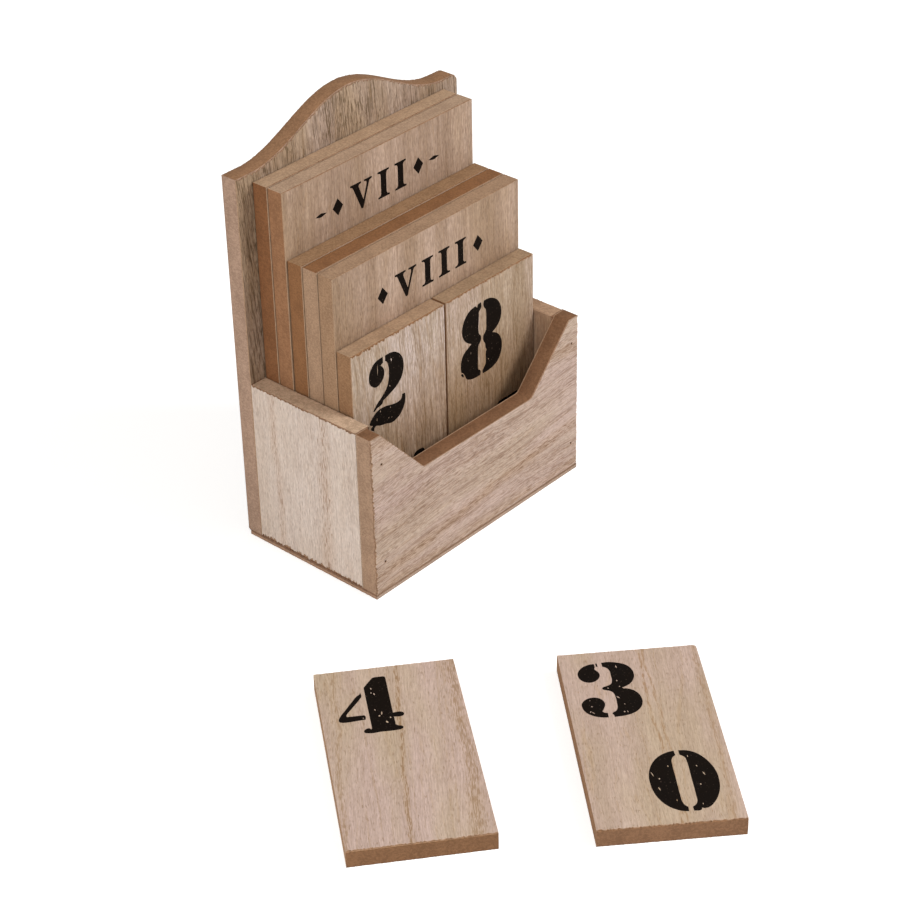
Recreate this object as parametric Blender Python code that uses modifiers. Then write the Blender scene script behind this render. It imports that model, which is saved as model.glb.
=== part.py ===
"""A perpetual desk calendar of veneered board: an open tray whose back board rises to an ogee crest,
with day, month and number tiles that stand in it and lift out.

Metres, +Z up, and the front faces -Y. The origin is the middle of the tray on the surface it stands on."""

import math

import bmesh
import bpy

# Board stock
BOARD_THICKNESS = 0.0060
BASE_THICKNESS = 0.0015
TILE_THICKNESS = 0.0058
EASED_EDGE = 0.00025

# Clearances
GLUE_LINE = 0.0003
TILE_GAP = 0.0003
FOOT_GAP = 0.0003
WIDE_TILE_SIDE_PLAY = 0.0005
SPARE_SLOT_PLAY = 0.0005

# Tray
TRAY_WIDTH = 0.0960
WALL_HEIGHT = 0.0556
BASE_SETBACK = 0.0008

# Back board: low shoulders and a crest between them
SHOULDER_HEIGHT = 0.1245
SHOULDER_LAND = 0.0062
CREST_RISE = 0.0132
CREST_STEPS = 32

# Front board: a sloped cut-out for the fingers
CUTOUT_DEPTH = 0.0202
CUTOUT_WIDTH = 0.0502
RIM_LAND = 0.0044
CUTOUT_ROUND = 0.0025
ROUND_STEPS = 6

# Tiles, and how many layers of each the tray holds, from the back board forward
DAY_TILE_HEIGHT = 0.1217
MONTH_TILE_HEIGHT = 0.0999
NUMBER_TILE_HEIGHT = 0.0760
DAY_LAYERS = ("day_tile_rear", "day_tile_front")
MONTH_LAYERS = ("month_tile_rear", "month_tile_middle", "month_tile_front")
NUMBER_LAYERS = 1
SPARE_LAYERS = 1
DAY_TILE_SHIFT_SHARE = -0.6

# The two number tiles of a layer share the tray's width, with this much play in all
NUMBER_TILES_PLAY = 0.0022
LEFT_PLAY_SHARE = 0.27
MIDDLE_PLAY_SHARE = 0.42

# Number tiles that lie on the table, face up, in front of the tray: their middles and their turns
LEFT_LOOSE_X = -0.1001
LEFT_LOOSE_Y = -0.0861
LEFT_LOOSE_TURN = -0.6865
RIGHT_LOOSE_X = -0.0503
RIGHT_LOOSE_Y = -0.1335
RIGHT_LOOSE_TURN = -0.7426

# Panel pins: a small round head on a pointed shank, punched in just below the board's face
PIN_HEAD_DIAMETER = 0.0010
PIN_HEAD_HEIGHT = 0.0005
PIN_SHANK_DIAMETER = 0.0008
PIN_POINT_LENGTH = 0.0012
WALL_PIN_LENGTH = 0.0150
BASE_PIN_LENGTH = 0.0090
PIN_PUNCHED_IN = 0.0006
PIN_CLEARANCE = 0.00015
PIN_SIDES = 16
LEFT_PIN_END_INSET = 0.0102
RIGHT_PIN_END_INSET = 0.0090
BASE_PIN_SPACING = 0.0150
PIN_LEFT_INSET_SHARE = 0.73
PIN_RIGHT_INSET_SHARE = 0.50
CUT_OVERRUN = 0.0010
WELD_DISTANCE = 0.00001

# Colours
VENEER_COLOUR = (0.53, 0.38, 0.27, 1.0)
CORE_COLOUR = (0.34, 0.20, 0.12, 1.0)
PIN_COLOUR = (0.10, 0.09, 0.08, 1.0)

# Worked out from the sizes above
LAYER_PITCH = TILE_THICKNESS + TILE_GAP
LAYERS = len(DAY_LAYERS) + len(MONTH_LAYERS) + NUMBER_LAYERS + SPARE_LAYERS
INNER_WIDTH = TRAY_WIDTH - 2 * BOARD_THICKNESS
INNER_DEPTH = LAYERS * LAYER_PITCH + TILE_GAP + SPARE_SLOT_PLAY
TRAY_DEPTH = INNER_DEPTH + 2 * BOARD_THICKNESS
WALL_FOOT = BASE_THICKNESS + GLUE_LINE
TILE_FOOT = BASE_THICKNESS + FOOT_GAP
FRONT_FACE = -TRAY_DEPTH / 2
BACK_FACE = TRAY_DEPTH / 2
BACK_BOARD_FRONT = BACK_FACE - BOARD_THICKNESS
WIDE_TILE_WIDTH = INNER_WIDTH - 2 * WIDE_TILE_SIDE_PLAY
NUMBER_TILE_WIDTH = (INNER_WIDTH - NUMBER_TILES_PLAY) / 2

# Which way each set of pins is driven, as a turn about X from a pin that points down
DRIVEN_BACK = math.pi / 2
DRIVEN_FORWARD = -math.pi / 2
DRIVEN_UP = math.pi


def clear_scene():
    for obj in list(bpy.data.objects):
        bpy.data.objects.remove(obj, do_unlink=True)


def new_collection(name):
    collection = bpy.data.collections.new(name)
    bpy.context.scene.collection.children.link(collection)
    return collection


def new_material(name, colour, roughness, metallic):
    material = bpy.data.materials.new(name)
    material.use_nodes = True
    material.diffuse_color = colour
    shader = material.node_tree.nodes["Principled BSDF"]
    shader.inputs["Base Color"].default_value = colour
    shader.inputs["Roughness"].default_value = roughness
    shader.inputs["Metallic"].default_value = metallic
    return material


def move_to(collection, obj):
    for owner in list(obj.users_collection):
        owner.objects.unlink(obj)
    collection.objects.link(obj)


def face_with_veneer(obj, axis, veneer, core):
    """The two broad faces, which look along the axis, are veneer, and the sawn edges are bare core."""
    obj.data.materials.clear()
    obj.data.materials.append(veneer)
    obj.data.materials.append(core)
    for polygon in obj.data.polygons:
        polygon.material_index = 0 if round(abs(polygon.normal[axis])) else 1


def ease_edges(obj):
    bevel = obj.modifiers.new("eased edges", "BEVEL")
    bevel.width = EASED_EDGE
    bevel.segments = 1
    bevel.limit_method = "ANGLE"


def new_panel(name, size, centre, veneer, core):
    """A rectangular board or tile, veneered on its two broadest faces."""
    bpy.ops.mesh.primitive_cube_add(size=1, location=centre)
    panel = bpy.context.active_object
    panel.name = name
    panel.scale = size
    bpy.ops.object.transform_apply(location=False, rotation=False, scale=True)
    face_with_veneer(panel, size.index(min(size)), veneer, core)
    ease_edges(panel)
    move_to(bpy.data.collections["wooden_calendar"], panel)
    return panel


def new_profiled_board(name, outline, centre_y, veneer, core):
    """A standing board sawn to an outline of (x, z) points, with its thickness about centre_y."""
    curve = bpy.data.curves.new(name, "CURVE")
    curve.dimensions = "2D"
    curve.fill_mode = "BOTH"
    curve.extrude = BOARD_THICKNESS / 2
    spline = curve.splines.new("POLY")
    spline.points.add(len(outline) - 1)
    for point, (x, z) in zip(spline.points, outline):
        point.co = (x, z, 0, 1)
    spline.use_cyclic_u = True
    blank = bpy.data.objects.new(name + "_outline", curve)
    bpy.context.scene.collection.objects.link(blank)
    blank.location = (0, centre_y, 0)
    blank.rotation_euler = (math.pi / 2, 0, 0)
    bpy.context.view_layer.update()
    evaluated = blank.evaluated_get(bpy.context.evaluated_depsgraph_get())
    mesh = bpy.data.meshes.new_from_object(evaluated)
    weld = bmesh.new()
    weld.from_mesh(mesh)
    bmesh.ops.remove_doubles(weld, verts=weld.verts, dist=WELD_DISTANCE)
    bmesh.ops.recalc_face_normals(weld, faces=weld.faces)
    weld.to_mesh(mesh)
    weld.free()
    board = bpy.data.objects.new(name, mesh)
    board.matrix_world = blank.matrix_world
    bpy.data.objects.remove(blank, do_unlink=True)
    bpy.data.curves.remove(curve)
    bpy.data.collections["wooden_calendar"].objects.link(board)
    face_with_veneer(board, 2, veneer, core)
    ease_edges(board)
    return board


def back_outline():
    """Straight up to two low shoulders, with one smooth swell between them: a raised cosine."""
    half_width = TRAY_WIDTH / 2
    half_crest = half_width - SHOULDER_LAND
    shoulder = WALL_FOOT + SHOULDER_HEIGHT
    points = [(-half_width, WALL_FOOT), (half_width, WALL_FOOT), (half_width, shoulder)]
    for step in range(CREST_STEPS + 1):
        turn = math.pi * (1 - 2 * step / CREST_STEPS)
        x = half_crest * turn / math.pi
        points.append((x, shoulder + CREST_RISE * (1 + math.cos(turn)) / 2))
    points.append((-half_width, shoulder))
    return points


def front_outline():
    """The rim's flat ends slope down to a level cut-out, whose right-hand corner is rounded."""
    half_width = TRAY_WIDTH / 2
    rim = WALL_FOOT + WALL_HEIGHT
    floor = rim - CUTOUT_DEPTH
    slope_top = half_width - RIM_LAND
    slope_foot = CUTOUT_WIDTH / 2
    points = [(-half_width, WALL_FOOT), (half_width, WALL_FOOT), (half_width, rim), (slope_top, rim)]
    slope_angle = math.atan2(CUTOUT_DEPTH, slope_top - slope_foot)
    tangent = CUTOUT_ROUND * math.tan(slope_angle / 2)
    for step in range(ROUND_STEPS + 1):
        turn = slope_angle * (1 - step / ROUND_STEPS)
        x = slope_foot - tangent + CUTOUT_ROUND * math.sin(turn)
        points.append((x, floor + CUTOUT_ROUND * (1 - math.cos(turn))))
    points.extend([(-slope_foot, floor), (-slope_top, rim), (-half_width, rim)])
    return points


def build_tray(veneer, core):
    boards = {}
    centre_y = BACK_FACE - BOARD_THICKNESS / 2
    boards["back_board"] = new_profiled_board("back_board", back_outline(), centre_y, veneer, core)
    centre_y = FRONT_FACE + BOARD_THICKNESS / 2
    boards["front_board"] = new_profiled_board("front_board", front_outline(), centre_y, veneer, core)
    for name, side in (("left_side_board", -1), ("right_side_board", 1)):
        size = (BOARD_THICKNESS, INNER_DEPTH - 2 * GLUE_LINE, WALL_HEIGHT)
        centre = (side * (TRAY_WIDTH - BOARD_THICKNESS) / 2, 0, WALL_FOOT + WALL_HEIGHT / 2)
        boards[name] = new_panel(name, size, centre, veneer, core)
    size = (TRAY_WIDTH, TRAY_DEPTH - BASE_SETBACK, BASE_THICKNESS)
    centre = (0, -BASE_SETBACK / 2, BASE_THICKNESS / 2)
    boards["base_board"] = new_panel("base_board", size, centre, veneer, core)
    return boards


def new_standing_tile(name, width, height, centre_x, layer, veneer, core):
    """A tile in the tray: layer 0 stands against the back board, and each one more stands in front."""
    rear_face = BACK_BOARD_FRONT - TILE_GAP - layer * LAYER_PITCH
    centre = (centre_x, rear_face - TILE_THICKNESS / 2, TILE_FOOT + height / 2)
    return new_panel(name, (width, TILE_THICKNESS, height), centre, veneer, core)


def build_standing_tiles(veneer, core):
    layer = 0
    for name in DAY_LAYERS:
        shift = DAY_TILE_SHIFT_SHARE * WIDE_TILE_SIDE_PLAY
        new_standing_tile(name, WIDE_TILE_WIDTH, DAY_TILE_HEIGHT, shift, layer, veneer, core)
        layer += 1
    for name in MONTH_LAYERS:
        new_standing_tile(name, WIDE_TILE_WIDTH, MONTH_TILE_HEIGHT, 0, layer, veneer, core)
        layer += 1
    tens_left = LEFT_PLAY_SHARE * NUMBER_TILES_PLAY - INNER_WIDTH / 2
    units_left = tens_left + NUMBER_TILE_WIDTH + MIDDLE_PLAY_SHARE * NUMBER_TILES_PLAY
    for name, left in (("tens_tile", tens_left), ("units_tile", units_left)):
        centre_x = left + NUMBER_TILE_WIDTH / 2
        new_standing_tile(name, NUMBER_TILE_WIDTH, NUMBER_TILE_HEIGHT, centre_x, layer, veneer, core)


def new_loose_tile(name, x, y, turn, veneer, core):
    size = (NUMBER_TILE_WIDTH, NUMBER_TILE_HEIGHT, TILE_THICKNESS)
    tile = new_panel(name, size, (x, y, TILE_THICKNESS / 2), veneer, core)
    tile.rotation_euler = (0, 0, turn)


def build_loose_tiles(veneer, core):
    new_loose_tile("loose_tile_left", LEFT_LOOSE_X, LEFT_LOOSE_Y, LEFT_LOOSE_TURN, veneer, core)
    new_loose_tile("loose_tile_right", RIGHT_LOOSE_X, RIGHT_LOOSE_Y, RIGHT_LOOSE_TURN, veneer, core)


def new_pin(name, head, turn, length, steel):
    """A pin turned from its profile about the middle of its head. Unturned, it points down."""
    head_radius = PIN_HEAD_DIAMETER / 2
    shank_radius = PIN_SHANK_DIAMETER / 2
    profile = [
        (0, 0, 0),
        (head_radius, 0, 0),
        (head_radius, 0, -PIN_HEAD_HEIGHT / 2),
        (shank_radius, 0, -PIN_HEAD_HEIGHT),
        (shank_radius, 0, PIN_POINT_LENGTH - length),
        (0, 0, -length),
    ]
    mesh = bpy.data.meshes.new(name)
    mesh.from_pydata(profile, [(i, i + 1) for i in range(len(profile) - 1)], [])
    mesh.materials.append(steel)
    pin = bpy.data.objects.new(name, mesh)
    bpy.data.collections["wooden_calendar"].objects.link(pin)
    pin.location = head
    pin.rotation_euler = (turn, 0, 0)
    lathe = pin.modifiers.new("turned", "SCREW")
    lathe.steps = PIN_SIDES
    lathe.render_steps = PIN_SIDES
    lathe.use_merge_vertices = True
    lathe.merge_threshold = WELD_DISTANCE
    lathe.use_smooth_shade = True
    return pin


def new_bore_cutter(name, head, turn, length, core):
    """A rod a clearance wider than the pin's head, from outside the board to just past the pin's point."""
    top = PIN_PUNCHED_IN + CUT_OVERRUN
    bottom = -length - PIN_CLEARANCE
    radius = PIN_HEAD_DIAMETER / 2 + PIN_CLEARANCE
    middle = (0, 0, (top + bottom) / 2)
    bpy.ops.mesh.primitive_cylinder_add(
        vertices=PIN_SIDES, radius=radius, depth=top - bottom, location=middle
    )
    cutter = bpy.context.active_object
    bpy.ops.object.transform_apply(location=True, rotation=False, scale=False)
    cutter.name = name + "_bore"
    cutter.data.materials.append(core)
    cutter.location = head
    cutter.rotation_euler = (turn, 0, 0)
    cutter.hide_render = True
    cutter.display_type = "WIRE"
    move_to(bpy.data.collections["cutters"], cutter)
    return cutter


def bore(board, cutter):
    cut = board.modifiers.new(cutter.name, "BOOLEAN")
    cut.operation = "DIFFERENCE"
    cut.solver = "EXACT"
    cut.material_mode = "TRANSFER"
    cut.object = cutter


def pin_together(name, head, turn, length, boards, steel, core):
    new_pin(name, head, turn, length, steel)
    cutter = new_bore_cutter(name, head, turn, length, core)
    for board in boards:
        bore(board, cutter)


def build_pins(boards, steel, core):
    """Each side board is pinned through the front, the back and the base."""
    left_x = PIN_LEFT_INSET_SHARE * BOARD_THICKNESS - TRAY_WIDTH / 2
    right_x = TRAY_WIDTH / 2 - PIN_RIGHT_INSET_SHARE * BOARD_THICKNESS
    rim = WALL_FOOT + WALL_HEIGHT
    front_y = FRONT_FACE + PIN_PUNCHED_IN
    back_y = BACK_FACE - PIN_PUNCHED_IN
    for side, x, inset in (("left", left_x, LEFT_PIN_END_INSET), ("right", right_x, RIGHT_PIN_END_INSET)):
        side_board = boards[side + "_side_board"]
        low = WALL_FOOT + inset
        high = rim - inset
        for level, z in (("lower", low), ("upper", high)):
            pin_together(f"front_pin_{side}_{level}", (x, front_y, z), DRIVEN_BACK, WALL_PIN_LENGTH,
                         (boards["front_board"], side_board), steel, core)
            pin_together(f"back_pin_{side}_{level}", (x, back_y, z), DRIVEN_FORWARD, WALL_PIN_LENGTH,
                         (boards["back_board"], side_board), steel, core)
        for end, y in (("front", -BASE_PIN_SPACING / 2), ("rear", BASE_PIN_SPACING / 2)):
            pin_together(f"base_pin_{side}_{end}", (x, y, PIN_PUNCHED_IN), DRIVEN_UP, BASE_PIN_LENGTH,
                         (boards["base_board"], side_board), steel, core)


def main():
    clear_scene()
    new_collection("wooden_calendar")
    new_collection("cutters")
    veneer = new_material("pale_veneer", VENEER_COLOUR, 0.6, 0.0)
    core = new_material("brown_core", CORE_COLOUR, 0.75, 0.0)
    steel = new_material("pin_steel", PIN_COLOUR, 0.45, 0.9)
    boards = build_tray(veneer, core)
    build_standing_tiles(veneer, core)
    build_loose_tiles(veneer, core)
    build_pins(boards, steel, core)


main()
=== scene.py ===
"""The finish of a wooden perpetual desk calendar: veneered boards and tiles, painted figures and steel pins.

Every board and tile is a fibreboard core with a thin sheet of veneer glued to each broad face. The sheets
are chipped where their edges cross the grain, and the figures are black paint, dabbed on through a stencil.
Metres and +Z up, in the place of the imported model."""

import math
import random

import bpy
from mathutils import Matrix, Vector, noise


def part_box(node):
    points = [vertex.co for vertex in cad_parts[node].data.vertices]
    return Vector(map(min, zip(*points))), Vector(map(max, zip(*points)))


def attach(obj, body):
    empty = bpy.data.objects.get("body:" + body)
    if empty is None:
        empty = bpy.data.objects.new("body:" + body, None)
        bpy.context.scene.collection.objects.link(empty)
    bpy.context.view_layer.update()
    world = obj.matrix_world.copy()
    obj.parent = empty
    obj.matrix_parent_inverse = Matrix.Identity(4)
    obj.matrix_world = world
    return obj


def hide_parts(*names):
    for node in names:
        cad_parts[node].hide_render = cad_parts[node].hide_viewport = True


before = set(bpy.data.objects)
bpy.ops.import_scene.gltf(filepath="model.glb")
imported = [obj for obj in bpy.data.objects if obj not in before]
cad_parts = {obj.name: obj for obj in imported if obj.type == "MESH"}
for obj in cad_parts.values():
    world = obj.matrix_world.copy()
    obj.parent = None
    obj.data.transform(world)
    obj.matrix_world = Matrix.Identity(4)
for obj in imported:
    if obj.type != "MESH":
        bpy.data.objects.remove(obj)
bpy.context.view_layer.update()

MM = 0.001

# Camera, fitted to the corners of the boards and tiles
CAMERA_AZIMUTH = -47.650
CAMERA_ELEVATION = 32.996
CAMERA_ROLL = -1.349
CAMERA_DISTANCE = 723.87 * MM
CAMERA_TARGET = Vector((-25.697, -38.884, 48.0)) * MM
CAMERA_LENS = 97.523
CAMERA_SENSOR = 36.0
CAMERA_REACH = (0.05, 20.0)

# Veneered board
VENEER_THICKNESS = 0.38 * MM
GLUE_LAP = 0.01 * MM
CORE_EASE = 0.06 * MM
EDGE_INSET = 0.03 * MM
CHIP_PITCH = 0.42 * MM
REAR_CHIPS = (0.12 * MM, 0.15 * MM)
PLAIN_PITCH = 6.0 * MM
CHIP_RARITY = 1.4
CHIP_PATCH = 3.5 * MM
LEAST_CHIP_SHARE = 0.08
CORNER_COSINE = 0.90
FACES_ALONG = 0.5
WELD = 0.002 * MM

# Back board and front board, as sawn
SHOULDER_HEIGHT = 124.5 * MM
SHOULDER_LAND = 6.2 * MM
CREST_STEPS = 64
CUTOUT_DEPTH = 20.2 * MM
CUTOUT_WIDTH = 50.2 * MM
RIM_LAND = 4.4 * MM
CUTOUT_ROUND = 2.5 * MM
ROUND_STEPS = 10
SHOULDER_ROUND = 2.0 * MM

# Glue in the tray's joints
JOINT_GAP = 0.30 * MM
GLUE_THICKNESS = 0.28 * MM
GLUE_SETBACK = 0.02 * MM
GLUE_WAVER = 0.10 * MM
VENEER_REACH = 0.32 * MM

# Pins and their bores
BORE_RADIUS = 0.65 * MM
BORE_SIDES = 20
VENEER_HOLE_RADIUS = 0.46 * MM

# Loose tiles, and the corner of one that is worn round
LEFT_LOOSE_TURN = -0.6865
RIGHT_LOOSE_TURN = -0.7426
WORN_CORNER = 1.1 * MM
WORN_STEPS = 5

# Paint
PAINT_THICKNESS = 0.05 * MM
PAINT_BEDDED = 0.01 * MM
CURVE_FINENESS = 8
NUMERAL_GAP = 2.5
ORNAMENT_GAP = 3.3

# Textures
SEEDS = 90
SHEET_SHIFT = 1000.0
GRAIN_SHIVER = 1.4 * MM
# How far the edge of the painted shade at a veneer's foot wanders
FOOT_SHADE_MIX = 12 * MM
STREAK_WANDER = 4 * MM
STREAK_REACH = 3.0
RINGS = 11.0
WOOD_RELIEF = 0.10 * MM
FINE_RELIEF = 0.05 * MM

# Scales of noise along each axis
COARSE_FIBRES = (190, 190, 120)
FINE_FIBRES = (1300, 1300, 1700)
FLECKS = (1900, 1900, 2600)
PAINT_CLOUDS = (240, 240, 240)
PINHOLES = (1900, 1900, 1900)
RUST_SPOTS = (2600, 2600, 2600)

# Colours, 0 to 255
FLECK = (96, 66, 46)
PAINT_BLACK, PAINT_THIN, PAINT_WORN = (8, 4, 2), (22, 15, 10), (120, 102, 88)
STEEL, RUST = (106, 86, 70), (80, 57, 41)
GLUE_DARK, GLUE_LIGHT = (112, 78, 54), (150, 114, 86)

# Tones that a colour is multiplied by
# Painted shade: the tone that darkens a veneer towards its foot, standing in for the shade low in the tray
FOOT_SHADE_TONE = (0.74, 0.63, 0.50, 1.0)
MOTTLE_DARK = (0.82, 0.79, 0.76, 1.0)
MOTTLE_LIGHT = (1.16, 1.15, 1.13, 1.0)

# Stage
FLOOR_SIZE = 6.0
FLOOR_GREY = (0.92, 0.92, 0.92, 1.0)
FLOOR_LIFT = 0.50
WHITE = (1.0, 1.0, 1.0, 1.0)
WORLD_COLOUR = (1.0, 0.965, 0.925, 1.0)
WORLD_STRENGTH = 0.34
LAMP_DISTANCE = 1.4

# Lamps: azimuth and elevation in degrees, size in metres and power in watts
LAMPS = {"key": (30, 38, 0.6, 12.8), "fill": (-75, 30, 1.4, 12.8)}


def srgb(red, green, blue):
    """A colour as a screen shows it, 0 to 255, for a shader's socket."""
    channels = []
    for value in (red, green, blue):
        share = value / 255
        channels.append(share / 12.92 if share <= 0.04045 else ((share + 0.055) / 1.055) ** 2.4)
    return (*channels, 1.0)


# Figures, in millimetres right and down from a tile's top left corner: loops_of their shapes, and nicks
TWO = {
    "shapes": """
    13.4,5.7! 13.45,7.7! 12.3,8.2! 13.3,9.3 13.85,11 13.4,12.9 12.1,14.2 10.3,14.8 8.6,14
    7.5,12.6 7.15,10.9 7.5,9 8.5,7.4 10,6.2 11.8,5.8;
    14.35,5.75! 17.2,5.85 19.6,6.9 21.5,9 22.25,11.6 22,14.2 20.9,16.6 18.7,18.4 15.8,19.7
    12.9,20.7! 12.4,21.6 11.2,22 10.2,22.1 8.9,22.9! 8.4,22.5! 10.2,20.7 12.6,19 14.6,17
    15.5,14.8 15.8,12 15.5,9.3 14.9,8 14.35,7.6!;
    6.6,26.2! 8,24.5 10.2,23.25 13.4,23.1 16.5,23.8 19.2,24.15 20.7,23.7 21.2,22.3! 22.5,22.5!
    22.55,24.3 21.9,26.6 20.3,28.7 18.3,29.8 16.4,30.1 13.6,29.3 11,28.7 9.6,28.1 8.8,28.3
    8.4,29.5! 7.2,28.6! 7.2,27.9! 8,27.4! 6.9,26.8!
    """,
    "nicks": ((11, 9.2, 5, 0.26, 2), (17, 8.3, 1.5, 0.4, -10), (16, 17, 0.7, 0.3, -20),
              (11.5, 23.9, 0.9, 0.35, -20), (9.9, 26.1, 1.4, 0.3, 4), (15.9, 24.5, 0.6, 0.3, -20),
              (15, 27.8, 0.7, 0.3, 30), (16.4, 28.2, 0.5, 0.3, 0)),
}

EIGHT = {
    "shapes": """
    15.95,6.5! 16.1,8.2 15.6,8.9 15,9.4 14.9,11 14.7,13.5 14.6,16 14.9,17.3 15.6,18.2 15.8,19.2
    15.3,20.5 14.6,21.2 14.3,22.6 14.2,25.5 14.1,28.9 14.2,29.9! 15,30.4 15.35,31.3 15.1,32.3!
    12.5,32.2 10.2,31.7 8.6,30.7 8,29.3! 7.2,28.1! 6.3,27.4! 6.1,25.5 6.6,22.9 7.8,21.2 9.5,20.2
    11.2,19.3! 10,18.6 8.3,17.1 7.3,15.3 7,13.1 7.5,10.8 8.8,8.8 10.7,7.4 13.3,6.75! 14.2,7.7!
    14.5,6.7!;
    17.4,6.55! 19.2,6.6 21.6,7.4 23.6,8.9 25,11.1 25.5,13.7 24.9,16.4 23.5,18.1 21.1,19.4!
    23.3,20.7 25,22.9 25.6,25.7 25.1,28.4 23.6,30.7 21.2,31.9 18.6,32.3 16.4,32.3! 16.3,31.2
    17,30.3 17.7,29.4 17.9,28 17.9,25.3 18.3,24.4! 17.8,23.4 17.6,21.9 16.9,20.7 16.7,19.7
    16.9,18.8 17.6,18.1 18.2,17 18.3,14.5 18.3,11.3 18,9.7 17.3,8.8 17,7.6!;
    6.3,28.1 7.3,29.5 6.7,29.1
    """,
    "nicks": ((19.1, 28.2, 0.6, 0.35, -40), (10.9, 22.5, 1.2, 0.18, -5), (9.6, 24.6, 0.5, 0.18, 0)),
}

FOUR = {
    "shapes": """
    13.5,8.75! 16.15,5.15! 16.55,4.7 17.2,4.5! 19.5,4.5! 20.05,4.75 20.25,5.4! 20.25,21.35!
    22.7,21.35 23.3,22.25 22.7,23.15 20.3,23.15! 20.3,26.5! 20.9,27.1 21.9,27.5 22.3,28.1
    21.7,28.8 20.6,29.05 16.2,29.05! 12,29.05 11.2,28.5 11.6,27.4 12.7,27 13.3,27.6! 13.55,27.2!;
    12.2,10.65! 12.35,12.6 11.8,13.65 9.3,17.15 7.1,20.5 7.2,21! 12.1,21.05! 12.4,21.6
    12.3,23.05! 5.3,23.15 4.8,22.6 5.2,20.9 7,18.15 9.3,14.75 11,12.35 12,11.45
    """,
    "nicks": ((15.5, 9.55, 1, 0.4, -6), (15.3, 11.5, 0.7, 0.35, -8), (16.1, 12.15, 1.1, 0.4, -12),
              (15.4, 19.25, 0.9, 0.35, -6), (17.1, 21, 1.9, 0.4, 8), (16.3, 22.05, 0.7, 0.6, 0),
              (19.3, 23.3, 0.8, 0.45, -10), (18.1, 25.05, 1.3, 0.6, -20), (11.7, 22.3, 0.6, 0.3, 0)),
}

THREE = {
    "shapes": """
    10,5.45! 10.05,7 9.8,7.8 10.3,8.6 10.75,9.4 10.95,10.6 10.6,11.9 9.6,13.1 8.2,13.75 6.6,13.5
    5.3,12.4 4.7,10.6 5,8.6 6.2,6.9 7.8,5.85 9,5.5;
    10.45,5.3! 10.9,5.3! 10.9,6.9! 10.5,6.7!;
    12.2,5.15! 14.2,5 16.7,5.6 19,6.8 20.3,8.7 20.75,11.1 20.3,13.5 19.2,15.3 17.7,16.5
    16.4,17.1! 16.7,17.6! 17.5,17.65 19.2,18.5 20.5,20.1 21.15,22.4 21,24.8 20,26.9 18.1,28.6
    15.4,29.55 12.3,29.85! 12.2,28.9! 11.85,28.4! 12.2,27.85 13.1,27.2 13.7,25.9 13.9,23.8
    13.9,21.2 13.7,19.6 13,18.4 11.7,17.75! 11.1,17.5 10.75,17.1 10.9,16.5 12.2,15.9 13.5,15.1
    14,13.7 14.1,11.3 14,9 13.4,7.7 12.3,6.95!;
    10.6,29.85! 10.6,27.95! 9.6,27.6! 9.2,27.1! 9.9,25.7 10.45,23.9 10,22.1 8.7,20.9 7,20.65
    5.2,21.4 4,23 3.85,24.8 4.4,26.6 5.7,28.2 7.8,29.4 9.6,29.8
    """,
    "nicks": ((16.2, 7.4, 1.4, 0.4, -8), (15.4, 13.8, 0.8, 0.4, 0), (15.8, 16.5, 0.7, 0.3, 0),
              (12.4, 16.9, 0.7, 0.35, -60), (14.6, 21.3, 1.6, 0.4, -35), (16, 24.5, 0.6, 0.3, 0),
              (15.4, 27.9, 0.7, 0.5, 0), (16.3, 27.9, 1.1, 0.25, -6), (6.6, 24.6, 0.6, 0.45, -60),
              (6.4, 21.9, 0.4, 0.3, 0), (6.6, 27.4, 1.3, 0.35, -40), (5.9, 26.9, 0.9, 0.3, 20)),
}

ZERO = {
    "shapes": """
    13.6,29.65! 11.7,29.45 9.4,28.35 7.4,26.15 5.8,22.95 4.9,19.55 4.8,16.75 5.1,13.55 6.1,10.25
    7.7,7.45 9.6,5.6 10.9,5.3! 11.4,5.6! 11.9,4.75 13.8,4.65! 13.9,6.25! 12.9,7.05 12.3,8.25
    12.15,10.75 12.1,17.75 12.1,24.75 12.3,26.45 13,27.35 13.6,27.75!;
    14.9,29.65! 16.7,29.25 19.2,27.95 21.2,25.85 22.7,22.95 23.5,19.55 23.6,16.75 23.2,13.25
    22.2,10.15 20.5,7.45 18.2,5.55 16.2,4.75 15.2,4.65! 15.1,6.35! 15.9,7.25 16.3,8.55 16.4,11.75
    16.35,17.75 16.3,24.25 16.1,26.05 15.5,27.15 14.8,27.75!
    """,
    "nicks": ((17.6, 23.45, 0.9, 0.35, 4), (20.8, 18.55, 0.7, 0.45, 0), (22.4, 20.6, 2.7, 0.3, -14),
              (21.5, 14.45, 1.8, 0.4, -16), (17.6, 9.35, 1, 0.28, 0), (11.5, 26.95, 1.2, 0.25, 0),
              (9.8, 22.65, 0.8, 0.35, -10), (8.4, 19.35, 1.9, 0.35, -18), (10.1, 15.05, 0.7, 0.5, 0),
              (10.9, 7.15, 0.7, 0.3, 0)),
}

ONE = {
    "shapes": """
    13.2,5! 14.4,4.7 15.5,4.8! 15.6,26.4! 16.1,27.4 17.2,27.9 17.7,28.7 17.2,29.6 15.6,29.8
    12.5,29.8! 9.2,29.8 7.8,29.6 7.3,28.7 7.8,27.9 8.8,27.4 9.3,26.4! 9.4,8.9! 11,7.6 12.4,6.2;
    8.6,9.3! 8.7,11.2! 7.2,10.9 5.8,11.2 5.3,10.6 5.8,10 7.2,9.8
    """,
    "nicks": ((11.4, 12.6, 1.1, 0.4, -8), (13.4, 17.2, 1.5, 0.35, 10), (11.9, 21.8, 0.8, 0.45, 0),
              (14.2, 24.4, 1, 0.35, -14)),
}

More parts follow.
